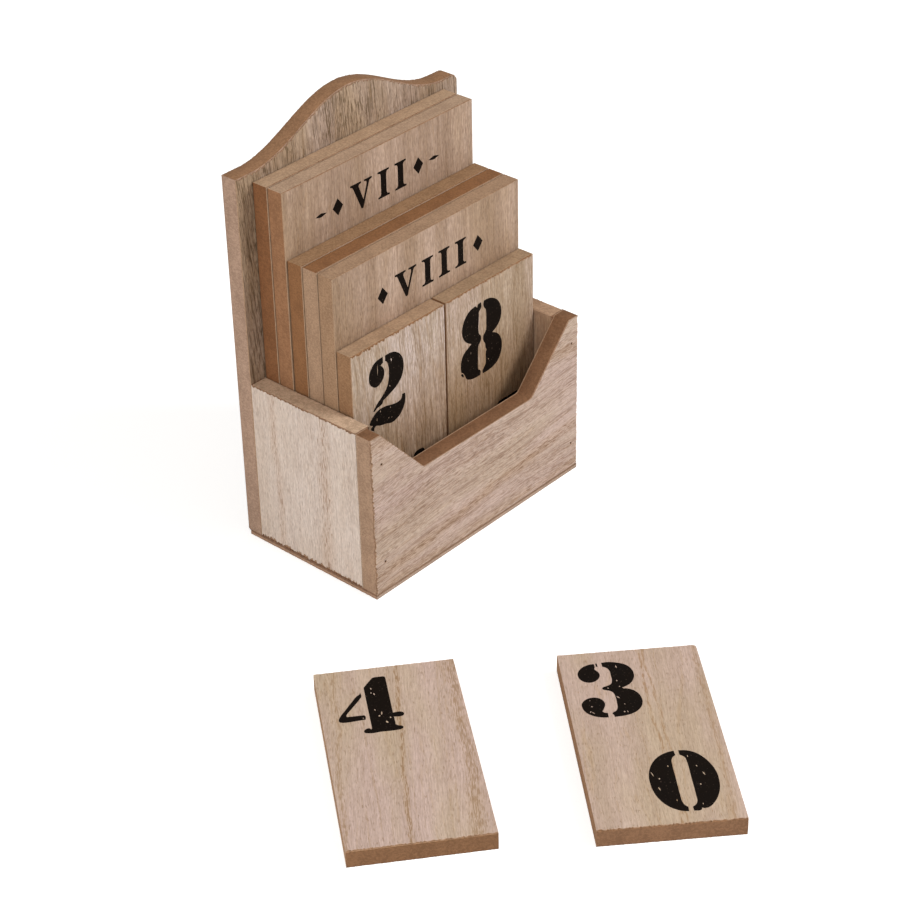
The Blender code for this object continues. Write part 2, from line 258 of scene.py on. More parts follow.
SEVEN = {
    "shapes": """
    5.4,5! 6.3,4.8 7,5.5 8.6,5.7 10.6,5 12.8,4.8 15.6,5.7 17.6,5.9 19,5.3! 18.3,7.4 17.4,9.6!
    14.8,10.2 12.4,9.5 9.8,8.6 7.6,9.1 6.4,10.4 5.4,11.3!;
    20.2,4.9! 22,4.8! 21.9,7.8 21,11.2 18.6,15.6 16.7,20.4 15.9,25 15.6,28.6 15,29.9 12.9,30.4
    11,29.9 10.4,27.9 10.8,23.8 12.4,19 15.2,14.4 17.6,11.2 18.9,8.6
    """,
    "nicks": ((9, 7.2, 0.8, 0.4, 70), (16.9, 16.3, 1.4, 0.35, 20), (13.6, 22.6, 1, 0.4, 0),
              (13.9, 27.2, 0.7, 0.4, -30)),
}

# Roman numerals and ornaments: their widths, and their outlines on a line at height 0
LETTERS = {
    "I": (5, """
    0,0! 5,0! 5,0.55! 4,0.85 3.7,1.5! 3.7,7.5! 4,8.15 5,8.45! 5,9! 0,9! 0,8.45! 1,8.15 1.3,7.5! 1.3,1.5!
    1,0.85 0,0.55!
    """),
    "V": (9.4, """
    0,9! 0,8.45! 0.9,8.15 1.25,7.6! 4.5,0! 5.3,0! 8,7.4! 8.4,8.1 9.4,8.45! 9.4,9! 6,9! 6,8.45! 7,8.15
    7.1,7.4! 5.5,2.6! 3.6,7.6! 3.8,8.15 4.7,8.45! 4.7,9!
    """),
    "X": (9.9, """
    0.2,9! 0.2,8.45! 1.15,8.15! 3.9,4.05! 1.15,0.85! 0,0.55! 0,0! 3.2,0! 3.2,0.55! 2.2,0.85! 4.29,3.45!
    6,0.85! 5.1,0.55! 5.1,0! 9.9,0! 9.9,0.55! 8.9,0.85! 5.82,5.38! 8.3,8.15! 9.5,8.45! 9.5,9! 6.2,9!
    6.2,8.45! 7.1,8.15! 5.43,5.98! 3.95,8.15! 4.9,8.45! 4.9,9!
    """),
    "-": (4.8, """
    0,4.5! 1.4,4.1 2.4,3.9 3.4,4.1 4.8,4.5! 3.4,4.9 2.4,5.1 1.4,4.9
    """),
    "*": (4.4, """
    0,4.5! 2.2,1.7! 4.4,4.5! 2.2,7.3!
    """),
}

# The upper and lower ends of a tile's face and rear: its side, and whether it is turned upside down
TILE_ENDS = (("face", False), ("face", True), ("rear", False), ("rear", True))

# Ornaments before a numeral, its middle and its baseline, in millimetres from the middle of the tile's top
DAY_LINE = ("-*", -1.3, -17.6)
MONTH_LINE = ("*", 0.8, -18.8)

NUMERALS = {
    "day_tile_rear": ("I", "II", "III", "IV"),
    "day_tile_front": ("VII", "V", "VI", ""),
    "month_tile_rear": ("I", "II", "III", "IV"),
    "month_tile_middle": ("V", "VI", "VII", "IX"),
    "month_tile_front": ("VIII", "X", "XI", "XII"),
}
FIGURES = {
    "tens_tile": (TWO, SEVEN, ONE, ZERO),
    "units_tile": (EIGHT, ONE, FOUR, THREE),
    "loose_tile_left": (FOUR,),
    "loose_tile_right": (THREE, ZERO),
}

# What a veneer's colour is made of: its tones, and coats of grain with how strong each is and in which tone
TONES = ("pale", "warm", "shade", "pore", "line", "streak")
GRAIN_COATS = (
    ("Band", "bands", "shade"), ("Fibre", "fibres", "shade"), ("Ripple", "ripples", "shade"),
    ("Dash", "dashes", "pore"), ("Needle", "needles", "pore"), ("Line", "lines", "line"),
    ("Pore", "pore_strength", "pore"),
)

# Layers of grain: scales across and along it, offset, detail, roughness, and where a layer begins and is full
GRAIN_LAYERS = {
    "Band": (150, 6, 3.1, 2, 0.5, 0.36, 0.64),
    "Tint": (75, 14, 5.9, 2, 0.5, 0.34, 0.66),
    "Fibre": (2300, 75, 7.7, 3, 0.65, 0.40, 0.62),
    "Hair": (4600, 260, 9.4, 1, 0.5, 0.35, 0.65),
    "Ripple": (2500, 250, 27.1, 2, 0.5, 0.46, 0.60),
    "Dash": (1900, 75, 31.3, 2, 0.5, 0.54, 0.61),
    "Needle": (3600, 240, 47.9, 2, 0.5, 0.545, 0.61),
    "Thicket": (110, 28, 51.3, 2, 0.5, 0.38, 0.60),
    "Speck": (2200, 700, 41.7, 1, 0.5, 0.36, 0.64),
    "Break": (1100, 150, 19.9, 2, 0.5, 0.38, 0.60),
}

# Waves that move the grain or make its rings and pores, and a streak's: scales, offset and detail
GRAIN_WAVES = {
    "Sway": (22, 13, 11.3), "Shiver": (160, 55, 23.7), "Foot": (90, 30, 35.9), "Rings": (62, 5, 17.5),
    "Pores": (4300, 520, 13.2, 0),
}
STREAK_WAVES = {"Sway": (1, 45, 2.2, 2), "Dashes": (3300, 330, 4.6, 2), "Patches": (1, 110, 6.1)}

# Looks of the veneer sheets: colours from 0 to 255, and chips, streaks and the depths of the painted shade at
# the foot in millimetres
PLAIN_LOOK = {
    "pale": (207, 184, 171), "warm": (200, 181, 156), "shade": (160, 134, 114),
    "pore": (140, 110, 88), "line": (160, 130, 98), "streak": (150, 118, 88),
    "wander": 0.004, "pores": 0.10, "ring_pores": 0.5, "pore_strength": 0.5, "bands": 0.20, "fibres": 0.35,
    "ripples": 0.20, "dashes": 0.0, "needles": 0.15, "lines": 0.30, "specks": 0.08, "stain": 0.3,
    "density": 0.18, "streaks": (), "chips": (0.30, 0.30),
    "grain_across": False, "grain_turn": 0, "foot_shade_depths": (10, 45), "foot": 0.0,
}
# Number tiles carry painted shade towards their foot, at full strength
NUMBER_LOOK = dict(
    PLAIN_LOOK, bands=0.45, shade=(148, 124, 98), pore=(124, 98, 68), fibres=0.60, ripples=0.30, dashes=0.60,
    needles=0.50, lines=0.4, specks=0.18, grain_turn=3.0, foot_shade_depths=(8, 44), foot=1.0)
LOOSE_LOOK = dict(PLAIN_LOOK, chips=(0.45, 0.14), pore=(152, 122, 94), density=0.26)
LOOKS = {
    "front_board": dict(
        PLAIN_LOOK, pale=(197, 174, 163), warm=(191, 170, 152), shade=(146, 118, 100), pore=(128, 98, 78),
        line=(176, 144, 110), streak=(128, 98, 74), grain_across=True, grain_turn=2.0, wander=0.008,
        pores=0.12, ring_pores=0.8, lines=0.2, fibres=0.22, ripples=0.05, dashes=0.54, needles=0.66,
        specks=0.14, chips=(0.80, 0.40), stain=0.45, density=0.21,
        streaks=((16.6, -0.090, 1.2, 0.8), (26.6, 0.035, 0.9, 0.5), (-21.2, 0.116, 1.2, 0.6))),
    # The base's face lies inside the tray, and its darker, browner tones are painted shade
    "base_board": dict(PLAIN_LOOK, pale=(180, 152, 130), warm=(172, 144, 116), grain_across=True),
    "side_board": dict(
        PLAIN_LOOK, pale=(221, 206, 195), warm=(217, 200, 185), shade=(180, 158, 142), line=(202, 174, 152),
        streak=(152, 121, 99), fibres=0.42, lines=0.10, pores=0.06, pore_strength=0.35, bands=0.15,
        ripples=0.25, needles=0.28, specks=0.12, chips=(1.30, 0.65), stain=0.45, density=0.19,
        streaks=((-12.4, -0.01, 0.9, 0.65), (8.0, 0.0, 1.5, 0.75))),
    # Painted shade: a darker, browner copy of the veneer for the tray's inner faces, where shade falls
    "shaded_inner_wall": dict(
        PLAIN_LOOK, pale=(197, 169, 143), warm=(188, 158, 127), shade=(136, 102, 76), fibres=0.7, bands=0.5,
        dashes=0.5, needles=0.4, specks=0.16),
    "back_board": dict(
        PLAIN_LOOK, pale=(188, 166, 151), warm=(178, 154, 129), shade=(126, 100, 76), pore=(90, 70, 46),
        fibres=0.45, bands=0.3, pores=0.14, dashes=0.80, needles=0.85, specks=0.18, grain_turn=4.5,
        chips=(0.30, 0.75)),
    # Word tiles carry a weaker painted shade towards their foot
    "word_tile": dict(
        PLAIN_LOOK, pale=(189, 163, 145), warm=(180, 153, 128), shade=(132, 106, 82), pore=(118, 92, 70),
        bands=0.42, fibres=0.45, dashes=0.28, needles=0.34, specks=0.17, foot_shade_depths=(12, 32), foot=0.35,
        chips=(0.30, 0.16)),
    "tens_tile": dict(NUMBER_LOOK, pale=(217, 200, 194), warm=(198, 180, 165), chips=(0.30, 1.00)),
    "units_tile": dict(NUMBER_LOOK, pale=(208, 187, 177), warm=(187, 166, 146), chips=(0.30, 0.80)),
    "left_loose_tile": dict(
        LOOSE_LOOK, pale=(210, 185, 174), warm=(204, 183, 157), line=(180, 150, 116), streak=(150, 118, 84),
        wander=0.006, ripples=0.25, grain_turn=-4.0, stain=0.5,
        streaks=((-17.3, 0.006, 0.5, 0.5), (0.3, 0.015, 0.45, 0.8), (17.6, -0.02, 1.4, 0.6))),
    "right_loose_tile": dict(
        LOOSE_LOOK, pale=(207, 182, 169), warm=(201, 179, 154), line=(182, 150, 112), streak=(156, 120, 84),
        grain_turn=-2.0, stain=0.4,
        streaks=((2.6, -0.035, 0.3, 0.65), (4.4, -0.025, 0.3, 0.55), (18.4, -0.010, 0.5, 0.4))),
}

# Tints of the bare cores: their sides, and their tops and feet
CORES = {
    "back_board": ((166, 138, 119), (143, 108, 80)),
    "front_board": ((163, 134, 111), (124, 90, 65)),
    "left_side_board": ((160, 128, 104), (193, 166, 141)),
    "right_side_board": ((160, 128, 104), (176, 144, 118)),
    "base_board": ((164, 132, 110), (166, 145, 130)),
    "day_tile_rear": ((127, 86, 56), (172, 144, 118)),
    "day_tile_front": ((146, 106, 76), (172, 145, 122)),
    "month_tile_rear": ((134, 94, 62), (148, 117, 88)),
    "month_tile_middle": ((163, 133, 108), (132, 93, 62)),
    "month_tile_front": ((156, 125, 98), (161, 132, 107)),
    "tens_tile": ((146, 111, 81), (166, 138, 112)),
    "units_tile": ((146, 111, 81), (159, 133, 107)),
    "loose_tile_left": ((172, 138, 108), (128, 94, 67)),
    "loose_tile_right": ((150, 114, 84), (131, 98, 73)),
}

# Tints of a veneer sheet's edges: its sides, and its top and foot
VENEER_EDGE = ((172, 141, 114), (168, 136, 110))
PALE_EDGE = ((184, 157, 135), (168, 136, 110))
BASE_EDGE = ((140, 108, 86), (136, 106, 84))

# The same for the face and the rear of some boards
EDGES = {
    "front_board": (VENEER_EDGE, PALE_EDGE),
    # The back board's face sheet has a darker top and foot edge, painted shade for the shadows among its
    # chips along the top
    "back_board": (((172, 141, 114), (150, 119, 93)), CORES["back_board"]),
    "base_board": (BASE_EDGE, CORES["base_board"]),
}


# Modelling helpers

def pick(piece):
    bpy.ops.object.select_all(action="DESELECT")
    piece.select_set(True)
    bpy.context.view_layer.objects.active = piece


def add_piece(add, **settings):
    """A new piece, made by one of the operators that add a primitive."""
    bpy.ops.object.select_all(action="DESELECT")
    add(**settings)
    return bpy.context.active_object


def add_object(name, data):
    added = bpy.data.objects.new(name, data)
    bpy.context.scene.collection.objects.link(added)
    return added


def settle(piece, place):
    """Puts a finished piece in its place, and keeps the place in its mesh."""
    pick(piece)
    piece.matrix_world = place
    bpy.ops.object.transform_apply(location=True, rotation=True, scale=True)
    return piece


def apply_modifiers(piece):
    pick(piece)
    for modifier in list(piece.modifiers):
        bpy.ops.object.modifier_apply(modifier=modifier.name)


def weld_shut(piece):
    """Joins a cut sheet's faces to its edge, with every face looking outwards."""
    pick(piece)
    bpy.ops.object.mode_set(mode="EDIT")
    bpy.ops.mesh.select_all(action="SELECT")
    bpy.ops.mesh.remove_doubles(threshold=WELD)
    bpy.ops.mesh.normals_make_consistent(inside=False)
    bpy.ops.object.mode_set(mode="OBJECT")


def new_flat_curve(name, thickness):
    curve = bpy.data.curves.new(name, "CURVE")
    curve.dimensions = "2D"
    curve.fill_mode = "BOTH"
    curve.extrude = thickness / 2
    return add_object(name, curve)


def add_straight_loop(sheet, points):
    spline = sheet.data.splines.new("POLY")
    spline.points.add(len(points) - 1)
    for knot, point in zip(spline.points, points):
        knot.co = (point[0], point[1], 0, 1)
    spline.use_cyclic_u = True


def loops_of(drawing):
    """Closed lines through points x,y, divided by semicolons. An exclamation mark makes a sharp corner."""
    loops = []
    for line in drawing.split(";"):
        loop = []
        for word in line.split():
            x, y = word.rstrip("!").split(",")
            loop.append((float(x), float(y), word.endswith("!")))
        loops.append(loop)
    return loops


def add_drawn_loop(sheet, points):
    """A closed line through points in millimetres, each with whether it is a sharp corner."""
    spline = sheet.data.splines.new("BEZIER")
    spline.bezier_points.add(len(points) - 1)
    spline.resolution_u = CURVE_FINENESS
    spline.use_cyclic_u = True
    for knot, (x, y, sharp) in zip(spline.bezier_points, points):
        knot.co = (x * MM, y * MM, 0)
        knot.handle_left_type = knot.handle_right_type = "VECTOR" if sharp else "AUTO"


def make_mesh(sheet):
    pick(sheet)
    bpy.ops.object.convert(target="MESH")
    weld_shut(sheet)
    return sheet


def shade(piece, *materials):
    piece.data.materials.clear()
    for material in materials:
        piece.data.materials.append(material)


# Outlines, counter-clockwise about a board's middle

def rectangle(width, height):
    half_width, half_height = width / 2, height / 2
    corners = (-half_width, -half_height), (half_width, -half_height), (half_width, half_height)
    return [Vector(corner) for corner in (*corners, (-half_width, half_height))]


def corner_arc(corner, radius):
    """A top right corner, worn round."""
    middle = corner - Vector((radius, radius))
    turns = [math.pi / 2 * step / WORN_STEPS for step in range(WORN_STEPS + 1)]
    return [middle + radius * Vector((math.cos(turn), math.sin(turn))) for turn in turns]


def worn_rectangle(width, height):
    outline = rectangle(width, height)
    return outline[:2] + corner_arc(outline[2], WORN_CORNER) + outline[3:]


def back_outline(width, height):
    """Two low shoulders with one smooth swell between them."""
    half_width, foot = width / 2, -height / 2
    shoulder = foot + SHOULDER_HEIGHT
    rise = height - SHOULDER_HEIGHT
    half_crest = half_width - SHOULDER_LAND
    outline = [Vector((-half_width, foot)), Vector((half_width, foot))]
    outline += corner_arc(Vector((half_width, shoulder)), SHOULDER_ROUND)
    for step in range(CREST_STEPS + 1):
        turn = math.pi * (1 - 2 * step / CREST_STEPS)
        outline.append(Vector((half_crest * turn / math.pi, shoulder + rise * (1 + math.cos(turn)) / 2)))
    outline.append(Vector((-half_width, shoulder)))
    return outline


def front_outline(width, height):
    """The rim's flat ends slope down to a level cut-out, whose right-hand corner is rounded."""
    half_width, foot, rim = width / 2, -height / 2, height / 2
    floor = rim - CUTOUT_DEPTH
    slope_top, slope_foot = half_width - RIM_LAND, CUTOUT_WIDTH / 2
    slope_angle = math.atan2(CUTOUT_DEPTH, slope_top - slope_foot)
    tangent = CUTOUT_ROUND * math.tan(slope_angle / 2)
    outline = [Vector((-half_width, foot)), Vector((half_width, foot)), Vector((half_width, rim)),
               Vector((slope_top, rim))]
    for step in range(ROUND_STEPS + 1):
        turn = slope_angle * (1 - step / ROUND_STEPS)
        x = slope_foot - tangent + CUTOUT_ROUND * math.sin(turn)
        outline.append(Vector((x, floor + CUTOUT_ROUND * (1 - math.cos(turn)))))
    outline += [Vector((-slope_foot, floor)), Vector((-slope_top, rim)), Vector((-half_width, rim))]
    return outline


def inward(start, end):
    edge = (end - start).normalized()
    return Vector((-edge.y, edge.x))


def chip_depth(point, along_grain, chips, rng):
    """How much is missing at a point of a cross-grain edge: now nothing much, now a splinter."""
    deepest = chips[0] if point.dot(along_grain) < 0 else chips[1]
    patch = noise.noise(Vector((point.x / CHIP_PATCH, point.y / CHIP_PATCH, deepest / MM)))
    share = LEAST_CHIP_SHARE + (1 - LEAST_CHIP_SHARE) * rng.random() ** CHIP_RARITY * (1.1 + 0.5 * patch)
    return deepest * min(1.0, max(0.0, share))


def chipped(outline, along_grain, chips, rng):
    """The outline of a sheet of veneer: splinters are missing from it where it crosses the grain.

    The chips are the deepest splinters at its near end and at its far end."""
    points = []
    count = len(outline)
    for index, start in enumerate(outline):
        end = outline[(index + 1) % count]
        here = inward(start, end)
        before = inward(outline[index - 1], start)
        crossing = abs(here.dot(along_grain)) ** 2
        length = (end - start).length
        steps = max(1, round(length / (CHIP_PITCH if crossing > 0.1 else PLAIN_PITCH)))
        for step in range(steps):
            share = (step + rng.uniform(-0.3, 0.3)) / steps if step else 0
            point = start.lerp(end, share)
            depth = EDGE_INSET + crossing * chip_depth(point, along_grain, chips, rng)
            if step == 0 and here.dot(before) < CORNER_COSINE:
                points.append(start + (here + before) * EDGE_INSET)
            else:
                points.append(point + here * depth)
    return points


def wavering(outline, rng):
    """The outline of a film of glue, which stops short of the joint's edge by more or less."""
    points = []
    for index, start in enumerate(outline):
        end = outline[(index + 1) % len(outline)]
        steps = max(1, round((end - start).length / (4 * CHIP_PITCH)))
        for step in range(steps):
            depth = GLUE_SETBACK + GLUE_WAVER * rng.random()
            points.append(start.lerp(end, step / steps) + inward(start, end) * depth)
    return points


def bore_outline(middle):
    turns = [2 * math.pi * side / BORE_SIDES for side in range(BORE_SIDES)]
    return [middle + VENEER_HOLE_RADIUS * Vector((math.cos(turn), math.sin(turn))) for turn in turns]


# Shader recipes

MIX_FACTOR, MIX_A, MIX_B, MIX_COLOUR = 0, 6, 7, 2


class Recipe:
    """Adds nodes to a tree. A value that it is given is a plain one or another node's socket."""

    def __init__(self, tree):
        self.tree = tree

    def feed(self, socket, value):
        if isinstance(value, bpy.types.NodeSocket):
            self.tree.links.new(value, socket)
        elif value is not None:
            socket.default_value = value

    def node(self, kind, **settings):
        added = self.tree.nodes.new("ShaderNode" + kind)
        for name, value in settings.items():
            setattr(added, name, value)
        return added

    def math(self, operation, first, second=None, third=None):
        added = self.node("Math", operation=operation)
        for socket, value in zip(added.inputs, (first, second, third)):
            self.feed(socket, value)
        return added.outputs[0]

    def plus(self, first, second):
        return self.math("ADD", first, second)

    def minus(self, first, second):
        return self.math("SUBTRACT", first, second)

    def times(self, first, second, added=None):
        """The product of two values, with a third added to it where one is given."""
        return self.math("MULTIPLY" if added is None else "MULTIPLY_ADD", first, second, added)

    def drift(self, value, wave, reach):
        """A value, moved by a noise's swing about its middle."""
        return self.times(self.minus(wave, 0.5), reach, value)

    def here(self):
        return self.node("TexCoord").outputs["Object"]

    def noise(self, vector, detail=1.0, roughness=0.5):
        added = self.node("TexNoise")
        self.feed(added.inputs["Vector"], vector)
        added.inputs["Scale"].default_value = 1.0
        added.inputs["Detail"].default_value = detail
        added.inputs["Roughness"].default_value = roughness
        return added.outputs["Fac"]

    def spots(self, vector, scales, detail, roughness=0.5):
        """Noise with a scale of its own along each axis."""
        added = self.node("VectorMath", operation="MULTIPLY")
        self.feed(added.inputs[0], vector)
        self.feed(added.inputs[1], scales)
        return self.noise(added.outputs[0], detail, roughness)

    def waves(self, point, across_scale, along_scale, offset, detail=1.0, roughness=0.5):
        """Noise stretched along the grain. The point is across the grain, along it, and a depth."""
        across, along, depth = point
        added = self.node("CombineXYZ")
        self.feed(added.inputs[0], self.times(across, across_scale))
        self.feed(added.inputs[1], self.times(along, along_scale))
        self.feed(added.inputs[2], self.plus(depth, offset))
        return self.noise(added.outputs[0], detail, roughness)

    def between(self, value, low, high):
        """0 below low, 1 above high, and a smooth step from one to the other."""
        added = self.node("MapRange", interpolation_type="SMOOTHSTEP")
        self.feed(added.inputs["Value"], value)
        self.feed(added.inputs["From Min"], low)
        self.feed(added.inputs["From Max"], high)
        return added.outputs["Result"]

    def blend(self, factor, first, second, kind="MIX"):
        added = self.node("Mix", data_type="RGBA", blend_type=kind)
        self.feed(added.inputs[MIX_FACTOR], factor)
        self.feed(added.inputs[MIX_A], first)
        self.feed(added.inputs[MIX_B], second)
        return added.outputs[MIX_COLOUR]

    def group(self, group, **values):
        added = self.node("Group", node_tree=group)
        for name, value in values.items():
            self.feed(added.inputs[name.replace("_", " ")], value)
        return added.outputs


def new_group(name, *inputs):
    """A node group's recipe, and what it is given: floats by name, and Vector as a vector."""
    group = bpy.data.node_groups.new(name, "ShaderNodeTree")
    for socket in inputs:
        kind = "NodeSocketVector" if socket == "Vector" else "NodeSocketFloat"
        group.interface.new_socket(socket, in_out="INPUT", socket_type=kind)
    return Recipe(group), group.nodes.new("NodeGroupInput").outputs


def finish_group(recipe, outputs):
    for socket in outputs:
        recipe.tree.interface.new_socket(socket, in_out="OUTPUT", socket_type="NodeSocketFloat")
    result = recipe.tree.nodes.new("NodeGroupOutput")
    for socket, value in outputs.items():
        recipe.feed(result.inputs[socket], value)
    return recipe.tree


def sheet_point(recipe, given):
    """Across and along the grain, and a depth that differs between a board's two sheets."""
    split = recipe.node("SeparateXYZ")
    recipe.feed(split.inputs[0], given["Vector"])
    return split.outputs[0], split.outputs[1], recipe.times(split.outputs[2], SHEET_SHIFT, given["Seed"])


def grain_group():
    """Nearly straight grain along Y: soft bands, fine fibres, and short pores along the growth rings."""
    recipe, given = new_group("wood_grain", "Vector", "Seed", "Wander", "Pore Density", "Ring Pores",
                              "Foot Top", "Foot Bottom")
    straight = sheet_point(recipe, given)
    across, along, depth = straight
    across = recipe.drift(across, recipe.waves(straight, *GRAIN_WAVES["Sway"]), given["Wander"])
    across = recipe.drift(across, recipe.waves(straight, *GRAIN_WAVES["Shiver"]), GRAIN_SHIVER)
    point = (across, along, depth)
    layer = {}
    for name, (*look, low, high) in GRAIN_LAYERS.items():
        layer[name] = recipe.between(recipe.waves(point, *look), low, high)
    # Painted shade: a mask that is full towards the board's foot, with a wandering edge
    mixed_foot = recipe.drift(along, recipe.waves(point, *GRAIN_WAVES["Foot"]), FOOT_SHADE_MIX)
    foot = recipe.between(mixed_foot, given["Foot Bottom"], given["Foot Top"])
    rings = recipe.times(recipe.waves(point, *GRAIN_WAVES["Rings"]), RINGS)
    ring = recipe.math("PINGPONG", rings, 0.5)
    line = recipe.minus(1.0, recipe.between(ring, 0.01, 0.10))
    ring_zone = recipe.minus(1.0, recipe.between(ring, 0.05, 0.28))
    crowd = recipe.times(ring_zone, given["Ring Pores"], recipe.times(layer["Band"], 0.5))
    limit = recipe.minus(0.73, recipe.times(given["Pore Density"], crowd))
    pore = recipe.between(recipe.waves(point, *GRAIN_WAVES["Pores"]), limit, recipe.plus(limit, 0.07))
    relief = recipe.times(layer["Ripple"], 0.5, recipe.times(layer["Fibre"], 0.5, pore))
    return finish_group(recipe, {
        "Band": layer["Band"], "Tint": layer["Tint"], "Ripple": layer["Ripple"], "Speck": layer["Speck"],
        "Fibre": recipe.times(layer["Hair"], 0.4, recipe.times(layer["Fibre"], 0.6)),
        "Dash": recipe.times(layer["Dash"], recipe.times(layer["Band"], 0.6, 0.4)),
        "Needle": recipe.times(layer["Needle"], recipe.times(layer["Thicket"], 0.8, 0.2)),
        "Line": recipe.times(line, layer["Break"]),
        "Pore": pore,
        "Foot": recipe.minus(1.0, foot),
        "Relief": recipe.minus(1.0, relief),
    })


def streak_group():
    """A mineral streak that nearly follows the grain: short dark dashes in a soft stain."""
    recipe, given = new_group("mineral_streak", "Vector", "Seed", "Place", "Lean", "Width", "Density")
    point = sheet_point(recipe, given)
    across, along, depth = point
    level = (0.0, along, depth)
    straightened = recipe.minus(across, recipe.times(along, given["Lean"]))
    moved = recipe.drift(straightened, recipe.waves(level, *STREAK_WAVES["Sway"]), STREAK_WANDER)
    gap = recipe.math("ABSOLUTE", recipe.minus(moved, given["Place"]))
    zone = recipe.minus(1.0, recipe.between(gap, 0.0, recipe.times(given["Width"], STREAK_REACH)))
    limit = recipe.minus(0.70, recipe.times(zone, given["Density"]))
    dashes = recipe.between(recipe.waves(point, *STREAK_WAVES["Dashes"]), limit, recipe.plus(limit, 0.08))
    patch = recipe.between(recipe.waves(level, *STREAK_WAVES["Patches"]), 0.35, 0.65)
    stain = recipe.times(zone, recipe.times(patch, 0.5, 0.5))
    return finish_group(recipe, {"Streak": dashes, "Stain": stain})


def fibreboard_group():
    """Pressed fibres: a fine mottle, with a few dark flecks."""
    recipe, given = new_group("pressed_fibres", "Vector")
    coarse = recipe.spots(given["Vector"], COARSE_FIBRES, 3, 0.6)
    fine = recipe.spots(given["Vector"], FINE_FIBRES, 4, 0.78)
    fleck = recipe.spots(given["Vector"], FLECKS, 0)
    mottle = recipe.plus(recipe.times(coarse, 0.28), recipe.times(fine, 0.72))
    return finish_group(recipe, {"Mottle": recipe.between(mottle, 0.41, 0.59),
                                 "Fleck": recipe.between(fleck, 0.66, 0.76), "Relief": fine})


def new_material(name):
    material = bpy.data.materials.new(name)
    material.use_nodes = True
    recipe = Recipe(material.node_tree)
    shader = material.node_tree.nodes["Principled BSDF"]
    return material, recipe, shader


def board_coordinates(recipe, place, grain_across, grain_turn):
    """Object coordinates, turned into the board's own: X across the grain, Y along it, Z out of its face.

    The grain is turned counter-clockwise from the board's own edges by some degrees."""
    mapping = recipe.node("Mapping")
    local = place.inverted()
    if grain_across:
        local = Matrix.Rotation(math.pi / 2, 4, "Z") @ local
    local = Matrix.Rotation(-math.radians(grain_turn), 4, "Z") @ local
    recipe.feed(mapping.inputs["Vector"], recipe.here())
    mapping.inputs["Location"].default_value = local.translation
    mapping.inputs["Rotation"].default_value = local.to_euler("XYZ")
    return mapping.outputs["Vector"]


def finish(recipe, shader, colour, roughness, specular):
    recipe.feed(shader.inputs["Base Color"], colour)
    recipe.feed(shader.inputs["Roughness"], roughness)
    shader.inputs["Specular IOR Level"].default_value = specular


def bump(recipe, shader, height, strength, distance):
    added = recipe.node("Bump")
    added.inputs["Strength"].default_value = strength
    added.inputs["Distance"].default_value = distance
    recipe.feed(added.inputs["Height"], height)
    recipe.feed(shader.inputs["Normal"], added.outputs["Normal"])


def veneer_material(name, board, look, seed):
    """Thin sawn veneer, unvarnished, darkened and browned towards its foot by painted shade.

    A streak is its place across the grain, its lean, half its width and its strength."""
    material, recipe, shader = new_material(name)
    vector = board_coordinates(recipe, board.place, look["grain_across"], look["grain_turn"])
    foot_top, foot_bottom = (board.height / 2 - depth * MM for depth in look["foot_shade_depths"])
    grain = recipe.group(GRAIN, Vector=vector, Seed=seed, Wander=look["wander"],
                         Pore_Density=look["pores"], Ring_Pores=look["ring_pores"],
                         Foot_Top=foot_top, Foot_Bottom=foot_bottom)
    tones = {tone: srgb(*look[tone]) for tone in TONES}
    colour = recipe.blend(grain["Tint"], tones["pale"], tones["warm"])
    for part, amount, tone in GRAIN_COATS:
        colour = recipe.blend(recipe.times(grain[part], look[amount]), colour, tones[tone])
    speckled = recipe.times(grain["Speck"], look["specks"], 1 - look["specks"] / 2)
    colour = recipe.blend(1.0, colour, speckled, "MULTIPLY")
    for number, (streak_place, lean, width, strength) in enumerate(look["streaks"]):
        streak = recipe.group(STREAK, Vector=vector, Seed=seed + number, Place=streak_place * MM,
                              Lean=lean, Width=width * MM, Density=look["density"])
        colour = recipe.blend(recipe.times(streak["Stain"], strength * look["stain"]), colour, tones["line"])
        colour = recipe.blend(recipe.times(streak["Streak"], strength), colour, tones["streak"])
    # Painted shade: darker and browner towards the foot, standing in for the shade low in the tray
    colour = recipe.blend(recipe.times(grain["Foot"], look["foot"]), colour, FOOT_SHADE_TONE, "MULTIPLY")
    finish(recipe, shader, colour, recipe.times(grain["Fibre"], 0.15, 0.62), 0.2)
    bump(recipe, shader, grain["Relief"], 0.6, WOOD_RELIEF)
    return material


def sawn_material(name, mottle_strength, fleck_strength):
    """A sawn edge, with each face in its own tint."""
    material, recipe, shader = new_material(name)
    board = recipe.group(FIBREBOARD, Vector=recipe.here())
    tint = recipe.node("Attribute", attribute_name="tint").outputs["Color"]
    dark = recipe.blend(mottle_strength, tint, MOTTLE_DARK, "MULTIPLY")
    light = recipe.blend(mottle_strength, tint, MOTTLE_LIGHT, "MULTIPLY")
    colour = recipe.blend(board["Mottle"], dark, light)
    colour = recipe.blend(recipe.times(board["Fleck"], fleck_strength), colour, srgb(*FLECK))
    finish(recipe, shader, colour, recipe.times(board["Mottle"], 0.1, 0.8), 0.15)
    bump(recipe, shader, board["Relief"], 0.3, WOOD_RELIEF)
    return material


def paint_material():
    """Black stencil paint, dull and a little thin, with pinholes that let the wood through."""
    material, recipe, shader = new_material("stencil_paint")
    broad = recipe.spots(recipe.here(), PAINT_CLOUDS, 3)
    pinholes = recipe.spots(recipe.here(), PINHOLES, 1)
    thin = recipe.between(pinholes, 0.68, 0.76)
    colour = recipe.blend(broad, srgb(*PAINT_BLACK), srgb(*PAINT_THIN))
    colour = recipe.blend(recipe.times(thin, 0.35), colour, srgb(*PAINT_WORN))
    finish(recipe, shader, colour, recipe.times(broad, 0.3, 0.60), 0.05)
    bump(recipe, shader, pinholes, 0.3, FINE_RELIEF)
    return material


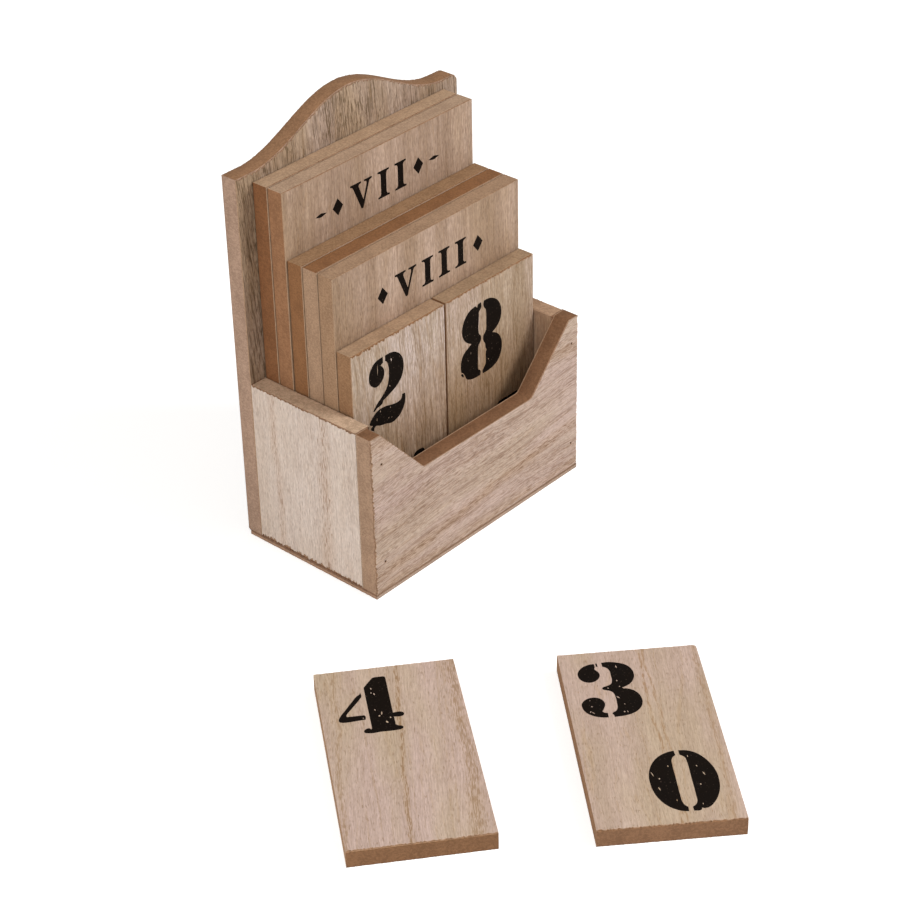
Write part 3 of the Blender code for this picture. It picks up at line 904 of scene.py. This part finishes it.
def steel_material():
    """A dulled pin head, with a trace of rust."""
    material, recipe, shader = new_material("pin_steel")
    stain = recipe.spots(recipe.here(), RUST_SPOTS, 3)
    rust = recipe.between(stain, 0.48, 0.66)
    colour = recipe.blend(rust, srgb(*STEEL), srgb(*RUST))
    finish(recipe, shader, colour, recipe.times(rust, 0.4, 0.35), 0.5)
    recipe.feed(shader.inputs["Metallic"], recipe.times(rust, -0.4, 0.5))
    bump(recipe, shader, stain, 0.3, FINE_RELIEF)
    return material


def glue_material():
    """Dried wood glue, brown with dust."""
    material, recipe, shader = new_material("dried_glue")
    board = recipe.group(FIBREBOARD, Vector=recipe.here())
    colour = recipe.blend(board["Mottle"], srgb(*GLUE_DARK), srgb(*GLUE_LIGHT))
    finish(recipe, shader, colour, recipe.times(board["Mottle"], 0.3, 0.45), 0.3)
    return material


FACING = {
    "front": Matrix.Rotation(math.pi / 2, 4, "X"),
    "left": Matrix.Rotation(-math.pi / 2, 4, "Z") @ Matrix.Rotation(math.pi / 2, 4, "X"),
    "right": Matrix.Rotation(math.pi / 2, 4, "Z") @ Matrix.Rotation(math.pi / 2, 4, "X"),
    "up": Matrix.Identity(4),
}

GRAIN = grain_group()
STREAK = streak_group()
FIBREBOARD = fibreboard_group()
paint = paint_material()
steel = steel_material()
glue = glue_material()
fibreboard = sawn_material("bare_fibreboard", 1.0, 0.15)
veneer_edge = sawn_material("veneer_edge", 0.6, 0.2)


class Board:
    """A veneered board or tile: a node's place and size, with X across it, Y up it and Z out of its face."""

    def __init__(self, node, body, turn, size=None):
        low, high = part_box(node)
        self.node = node
        self.body = body
        self.place = Matrix.Translation((low + high) / 2) @ turn
        if size is None:
            size = turn.inverted().to_3x3() @ (high - low)
        self.width, self.height, self.thickness = (abs(length) for length in size)

    def spot(self, world_point):
        """A point of the frame, as X and Y on the board."""
        return (self.place.inverted() @ world_point).to_2d()


def seat(piece, board):
    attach(piece, board.body)


def tint_faces(piece, side_tint, end_tint):
    """Tints each face of a piece by whether it looks sideways, or up or down the board."""
    side_colour, end_colour = srgb(*side_tint), srgb(*end_tint)
    tints = piece.data.attributes.new("tint", "FLOAT_COLOR", "FACE")
    for polygon in piece.data.polygons:
        tints.data[polygon.index].color = end_colour if abs(polygon.normal.y) > FACES_ALONG else side_colour


def saw_core(board, outline, worn):
    """The core, sawn from fibreboard. Its arrises are eased, and one may be worn round."""
    thickness = board.thickness - 2 * (VENEER_THICKNESS - GLUE_LAP)
    if outline is None:
        core = add_piece(bpy.ops.mesh.primitive_cube_add, size=1)
        core.scale = (board.width, board.height, thickness)
        bpy.ops.object.transform_apply(location=False, rotation=False, scale=True)
        if worn:
            round_corner(core, board)
    else:
        core = new_flat_curve(board.node + "_core", thickness)
        add_straight_loop(core, outline)
        make_mesh(core)
    ease = core.modifiers.new("eased arrises", "BEVEL")
    ease.width = CORE_EASE
    ease.segments = 2
    ease.limit_method = "ANGLE"
    apply_modifiers(core)
    core.name = board.node + "_core"
    return core


def round_corner(core, board):
    """Wears round the arris at the top right of a tile's face."""
    pick(core)
    bpy.ops.object.mode_set(mode="EDIT")
    bpy.ops.mesh.select_all(action="DESELECT")
    bpy.ops.object.mode_set(mode="OBJECT")
    corner = Vector((board.width / 2, board.height / 2))
    for edge in core.data.edges:
        ends = [core.data.vertices[index].co.to_2d() for index in edge.vertices]
        edge.select = all((end - corner).length < WELD for end in ends)
    bpy.ops.object.mode_set(mode="EDIT")
    bpy.ops.mesh.bevel(offset=WORN_CORNER, segments=WORN_STEPS, affect="EDGES")
    bpy.ops.object.mode_set(mode="OBJECT")


def bore(core, board, middles):
    """Drills the core for its pins."""
    for middle in middles:
        drill = add_piece(bpy.ops.mesh.primitive_cylinder_add, vertices=BORE_SIDES, radius=BORE_RADIUS,
                          depth=2 * board.thickness, location=(*middle, 0))
        cut = core.modifiers.new("bore", "BOOLEAN")
        cut.operation = "DIFFERENCE"
        cut.object = drill
        apply_modifiers(core)
        bpy.data.objects.remove(drill, do_unlink=True)


def lay_veneer(board, side, outline, holes, material, along_grain, chips, edge_tints):
    """A sheet of veneer on the board's face or on its rear, flush with the frame's solid."""
    name = f"{board.node}_{side}_veneer"
    rng = random.Random(name)
    sheet = new_flat_curve(name, VENEER_THICKNESS)
    add_straight_loop(sheet, chipped(outline, along_grain, chips, rng))
    for hole in holes:
        add_straight_loop(sheet, hole)
    make_mesh(sheet)
    tint_faces(sheet, *edge_tints)
    shade(sheet, material, veneer_edge)
    for polygon in sheet.data.polygons:
        is_edge = abs(polygon.normal.z) <= FACES_ALONG
        polygon.material_index = int(is_edge)
    height = (board.thickness - VENEER_THICKNESS) / 2 * (1 if side == "face" else -1)
    return settle(sheet, board.place @ Matrix.Translation((0, 0, height)))


def build_board(board, look, outline=None, pins=(), worn=False, rear_look=None, reach=0):
    """A core between two sheets of veneer, in place of the frame's solid. The sheets may reach past it."""
    middles = [board.spot(sum(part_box(pin), Vector()) / 2) for pin in pins]
    core = saw_core(board, outline, worn)
    bore(core, board, middles)
    tint_faces(core, *CORES[board.node])
    shade(core, fibreboard)
    settle(core, board.place)
    seat(core, board)
    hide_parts(board.node)
    if outline is None:
        outline = (worn_rectangle if worn else rectangle)(board.width + 2 * reach, board.height)
    holes = [bore_outline(middle) for middle in middles]
    seed = random.Random(board.node).uniform(0, SEEDS)
    veneer = veneer_material(board.node + "_veneer", board, LOOKS[look], seed)
    along_grain = Vector((1, 0)) if LOOKS[look]["grain_across"] else Vector((0, 1))
    face_chips = [depth * MM for depth in LOOKS[look]["chips"]]
    face_edge, rear_edge = EDGES.get(board.node, (VENEER_EDGE, CORES[board.node]))
    for side, chips, edge_tints in (("face", face_chips, face_edge), ("rear", REAR_CHIPS, rear_edge)):
        # The rear may take a look of its own, such as the painted shade on the tray's inner faces
        if side == "rear" and rear_look:
            veneer = veneer_material(board.node + "_inner_veneer", board, LOOKS[rear_look], seed)
        sheet = lay_veneer(board, side, outline, holes, veneer, along_grain, chips, edge_tints)
        seat(sheet, board)


def spread_glue(name, place, outline, hole=None):
    """A film of glue in a joint of the tray."""
    rng = random.Random(name)
    film = new_flat_curve(name, GLUE_THICKNESS)
    add_straight_loop(film, wavering(outline, rng))
    if hole:
        add_straight_loop(film, hole)
    make_mesh(film)
    shade(film, glue)
    settle(film, place)
    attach(film, "tray")


def nick_loop(right, down, length, width, lean):
    """A place that the paint missed: a narrow leaf, leaning to the right by some degrees."""
    turn = math.radians(lean)
    up = Vector((math.sin(turn), math.cos(turn))) * length / 2
    across = Vector((math.cos(turn), -math.sin(turn))) * width / 2
    middle = Vector((right, -down))
    corners = (up, True), (across, False), (-up, True), (-across, False)
    return [(*(middle + corner), sharp) for corner, sharp in corners]


def paint_loops(name, loops, board, spot, turned, side):
    """Loops of paint on a tile. The spot is where the loops' zero lies, from the tile's middle."""
    figure = new_flat_curve(name, PAINT_THICKNESS)
    for loop in loops:
        add_drawn_loop(figure, loop)
    make_mesh(figure)
    shade(figure, paint)
    height = board.thickness / 2 - PAINT_BEDDED + PAINT_THICKNESS / 2
    place = board.place
    if side == "rear":
        place = place @ Matrix.Rotation(math.pi, 4, "Y")
    if turned:
        place = place @ Matrix.Rotation(math.pi, 4, "Z")
    settle(figure, place @ Matrix.Translation((*spot, height)))
    seat(figure, board)


def paint_figure(board, figure, turned, side):
    """A figure at the tile's top left, or the same with the tile turned upside down."""
    loops = [[(right, -down, sharp) for right, down, sharp in loop] for loop in loops_of(figure["shapes"])]
    loops += [nick_loop(*nick) for nick in figure["nicks"]]
    end = "lower" if turned else "upper"
    spot = (-board.width / 2, board.height / 2)
    paint_loops(f"{board.node}_{side}_{end}_figure", loops, board, spot, turned, side)


def paint_numeral(board, text, middle, baseline, turned, side):
    """A Roman numeral, with the lozenges and tapered dashes beside it."""
    widths = [LETTERS[letter][0] for letter in text]
    gaps = [ORNAMENT_GAP if "*" in pair and "-" not in pair else NUMERAL_GAP for pair in zip(text, text[1:])]
    gaps.append(0)
    x = middle - (sum(widths) + sum(gaps)) / 2
    loops = []
    for letter, width, gap in zip(text, widths, gaps):
        for loop in loops_of(LETTERS[letter][1]):
            loops.append([(across + x, up + baseline, sharp) for across, up, sharp in loop])
        x += width + gap
    end = "lower" if turned else "upper"
    spot = (0, board.height / 2)
    paint_loops(f"{board.node}_{side}_{end}_numeral", loops, board, spot, turned, side)


def build_tray():
    def wall_pins(wall):
        return [f"{wall}_pin_{side}_{level}" for side in ("left", "right") for level in ("lower", "upper")]

    front = Board("front_board", "tray", FACING["front"])
    # The front board's inner face takes the darker look, painted shade inside the tray
    build_board(front, "front_board", front_outline(front.width, front.height),
                wall_pins("front"), rear_look="shaded_inner_wall")
    back = Board("back_board", "tray", FACING["front"])
    build_board(back, "back_board", back_outline(back.width, back.height), wall_pins("back"))
    base = Board("base_board", "tray", FACING["up"])
    base_pins = [f"base_pin_{side}_{end}" for side in ("left", "right") for end in ("front", "rear")]
    build_board(base, "base_board", pins=base_pins)
    for side in ("left", "right"):
        wall = Board(side + "_side_board", "tray", FACING[side])
        # Each side board's inner face takes the darker look, painted shade inside the tray
        build_board(wall, "side_board", rear_look="shaded_inner_wall", reach=VENEER_REACH)
        glue_joints(wall)
    underside = rectangle(front.width, wall.width + 2 * front.thickness)
    opening = rectangle(front.width - 2 * wall.thickness, wall.width)
    height = base.place.translation.z + (base.thickness + JOINT_GAP) / 2
    spread_glue("base_glue", Matrix.Translation((0, 0, height)), underside, opening)


def glue_joints(wall):
    """Films of glue between a side board's ends and the two boards that it is pinned to."""
    for name, toward in (("front", -1), ("back", 1)):
        place = wall.place.copy()
        place.translation.y = toward * (wall.width + JOINT_GAP) / 2
        place = place @ Matrix.Rotation(math.pi / 2, 4, "Y")
        spread_glue(f"{wall.node}_{name}_glue", place, rectangle(wall.thickness, wall.height))


def build_tiles():
    tiles = {}
    for node in (*NUMERALS, "tens_tile", "units_tile"):
        tiles[node] = Board(node, node + "_body", FACING["front"])
        build_board(tiles[node], "word_tile" if node in NUMERALS else node)
    size = (tiles["tens_tile"].width, tiles["tens_tile"].height, tiles["tens_tile"].thickness)
    for side, turn in (("left", LEFT_LOOSE_TURN), ("right", RIGHT_LOOSE_TURN)):
        node = "loose_tile_" + side
        tiles[node] = Board(node, node + "_body", Matrix.Rotation(turn, 4, "Z"), size)
        build_board(tiles[node], side + "_loose_tile", worn=side == "right")
    return tiles


def paint_tiles(tiles):
    """Paints both ends of both sides, as a tile is turned over and round to change the date."""
    for node, numerals in NUMERALS.items():
        ornament, middle, baseline = DAY_LINE if "day" in node else MONTH_LINE
        for numeral, (side, turned) in zip(numerals, TILE_ENDS):
            if numeral:
                text = ornament + numeral + ornament[::-1]
                paint_numeral(tiles[node], text, middle, baseline, turned, side)
    for node, figures in FIGURES.items():
        for figure, (side, turned) in zip(figures, TILE_ENDS):
            paint_figure(tiles[node], figure, turned, side)


def finish_pins():
    for name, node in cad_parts.items():
        if "_pin_" in name:
            for material_slot in node.material_slots:
                material_slot.material = steel


def build_floor():
    floor = add_piece(bpy.ops.mesh.primitive_plane_add, size=FLOOR_SIZE)
    floor.name = "floor"
    material, recipe, shader = new_material("white_floor")
    finish(recipe, shader, FLOOR_GREY, 1.0, 0.0)
    shader.inputs["Emission Color"].default_value = WHITE
    path = recipe.node("LightPath")
    recipe.feed(shader.inputs["Emission Strength"], recipe.times(path.outputs["Is Camera Ray"], FLOOR_LIFT))
    shade(floor, material)


def light_world():
    """Even studio light, seen as white behind the object."""
    world = bpy.data.worlds.new("studio")
    bpy.context.scene.world = world
    world.use_nodes = True
    tree = world.node_tree
    recipe = Recipe(tree)
    lit = tree.nodes["Background"]
    lit.inputs["Color"].default_value = WORLD_COLOUR
    lit.inputs["Strength"].default_value = WORLD_STRENGTH
    seen = recipe.node("Background")
    seen.inputs["Color"].default_value = WHITE
    path = recipe.node("LightPath")
    straight = recipe.math("MAXIMUM", path.outputs["Is Camera Ray"], path.outputs["Is Glossy Ray"])
    straight = recipe.math("MAXIMUM", straight, path.outputs["Is Transmission Ray"])
    mix = recipe.node("MixShader")
    recipe.feed(mix.inputs[0], straight)
    recipe.feed(mix.inputs[1], lit.outputs[0])
    recipe.feed(mix.inputs[2], seen.outputs[0])
    recipe.feed(tree.nodes["World Output"].inputs["Surface"], mix.outputs[0])


def looking_from(azimuth, elevation, roll, distance):
    """Azimuth 0 looks along +Y. The distance is from the camera's target."""
    turn = Matrix.Rotation(math.radians(azimuth), 4, "Z")
    turn = turn @ Matrix.Rotation(math.radians(90 - elevation), 4, "X")
    turn = turn @ Matrix.Rotation(math.radians(roll), 4, "Z")
    back = turn.to_3x3() @ Vector((0, 0, 1))
    return Matrix.Translation(CAMERA_TARGET + back * distance) @ turn


def add_lamp(name, azimuth, elevation, size, watts):
    """A square soft box that looks at the middle of the object."""
    lamp = bpy.data.lights.new(name, "AREA")
    lamp.shape = "SQUARE"
    lamp.size = size
    lamp.energy = watts
    add_object(name, lamp).matrix_world = looking_from(azimuth, elevation, 0, LAMP_DISTANCE)


def add_camera():
    lens = bpy.data.cameras.new("camera")
    lens.lens = CAMERA_LENS
    lens.sensor_width = CAMERA_SENSOR
    lens.clip_start, lens.clip_end = CAMERA_REACH
    camera = add_object("camera", lens)
    camera.matrix_world = looking_from(CAMERA_AZIMUTH, CAMERA_ELEVATION, CAMERA_ROLL, CAMERA_DISTANCE)
    bpy.context.scene.camera = camera


bpy.context.scene.view_settings.view_transform = "Standard"
add_camera()
build_floor()
light_world()
for lamp_name, lamp_setting in LAMPS.items():
    add_lamp(lamp_name, *lamp_setting)
build_tray()
paint_tiles(build_tiles())
finish_pins()
